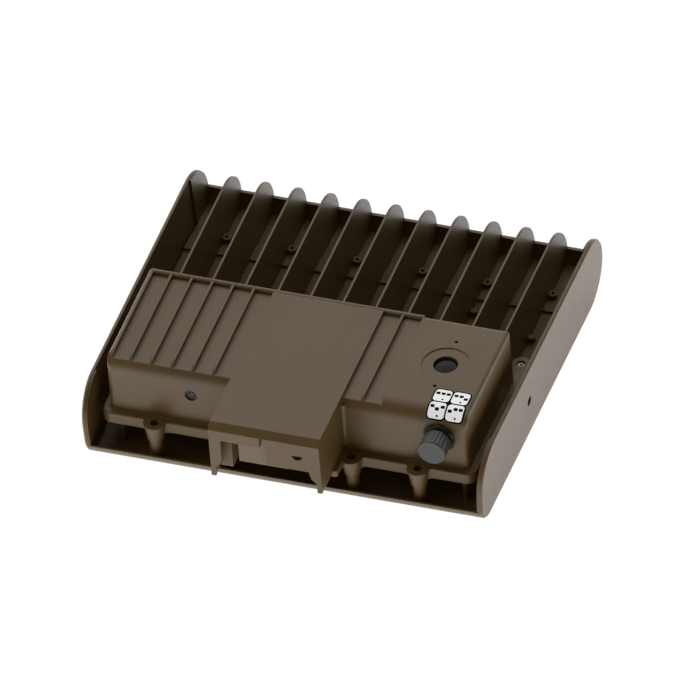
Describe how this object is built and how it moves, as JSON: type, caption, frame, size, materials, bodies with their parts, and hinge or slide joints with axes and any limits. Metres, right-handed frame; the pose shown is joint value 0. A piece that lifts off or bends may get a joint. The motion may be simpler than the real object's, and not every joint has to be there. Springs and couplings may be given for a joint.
{
  "type": "led flood light",
  "caption": "Flood light lying on its lens side: finned cast housing between rounded side plates, driver box on posts, arm channel in front, capped selector port.",
  "frame": {"origin": "centre of the overall outline at the bottom edges of the side plates", "axes": "+X from the breather side to the selector side, +Y from the arm channel to the fins' far curve, +Z from the lens side up to the driver box"},
  "size_m": [0.3468, 0.3458, 0.0964],
  "materials": {
    "bronze_coat": "satin dark bronze powder coat on die-cast aluminium",
    "steel": "zinc plated",
    "alu_case": "drawn aluminium case",
    "black_plastic": "moulded nylon",
    "grey_plastic": "moulded, fine matt",
    "white_plastic": "moulded",
    "red_plastic": "moulded",
    "board": "solder mask",
    "label": "printed film",
    "rubber": "silicone",
    "lens": "clear moulded acrylic",
    "led": "phosphor",
    "white_board": "white solder mask on aluminium core"
  },
  "bodies": {
    "housing": {"heat_sink_housing": "bronze_coat", "driver_box": "bronze_coat", "box_gasket": "rubber", "box_base_plate": "bronze_coat", "base_plate_screws": "steel", "ear_screws": "steel", "arm_slot_plate": "bronze_coat", "slot_plate_screws": "steel", "arm_bracket": "bronze_coat", "bracket_screws": "steel", "terminal_block": "white_plastic", "earth_screw": "steel", "wire_bushes": "rubber", "led_driver": "alu_case", "surge_protector": "grey_plastic", "breather": "grey_plastic", "sensor_plug": "black_plastic", "port_seal": "rubber", "selector_port": "black_plastic", "port_nut": "black_plastic", "selector_board": "board", "selector_block": "red_plastic", "setting_label": "label", "led_board_left": "white_board", "led_board_right": "white_board", "led_chips_left": "led", "led_chips_right": "led", "board_screws": "steel", "optic_left": "lens", "optic_right": "lens", "optic_gasket": "rubber", "optic_frame": "bronze_coat", "frame_screws": "steel", "led_lead_gland": "rubber"},
    "cap_ring": {"cap_seal": "rubber"},
    "cap": {"selector_cap": "black_plastic"},
    "lever_1": {"selector_lever_1": "white_plastic"},
    "lever_2": {"selector_lever_2": "white_plastic"},
    "lever_3": {"selector_lever_3": "white_plastic"}
  },
  "joints": [
    {"name": "cap_travel", "type": "slide", "parent": "housing", "child": "cap_ring", "axis": [0, -1, 0], "range_m": [0, 0.006]},
    {"name": "cap_turn", "type": "hinge", "parent": "cap_ring", "child": "cap", "pos_m": [0.131, -0.1207, 0.073], "axis": [0, -1, 0], "range_deg": [0, 1440]},
    {"name": "lever_1_slide", "type": "slide", "parent": "housing", "child": "lever_1", "axis": [0, 0, 1], "range_m": [0, 0.0016]},
    {"name": "lever_2_slide", "type": "slide", "parent": "housing", "child": "lever_2", "axis": [0, 0, 1], "range_m": [0, 0.0016]},
    {"name": "lever_3_slide", "type": "slide", "parent": "housing", "child": "lever_3", "axis": [0, 0, 1], "range_m": [0, 0.0016]}
  ],
  "couplings": [
    {"joint": "cap_travel", "follows": "cap_turn", "m_per_rad": 0.00023873}
  ]
}
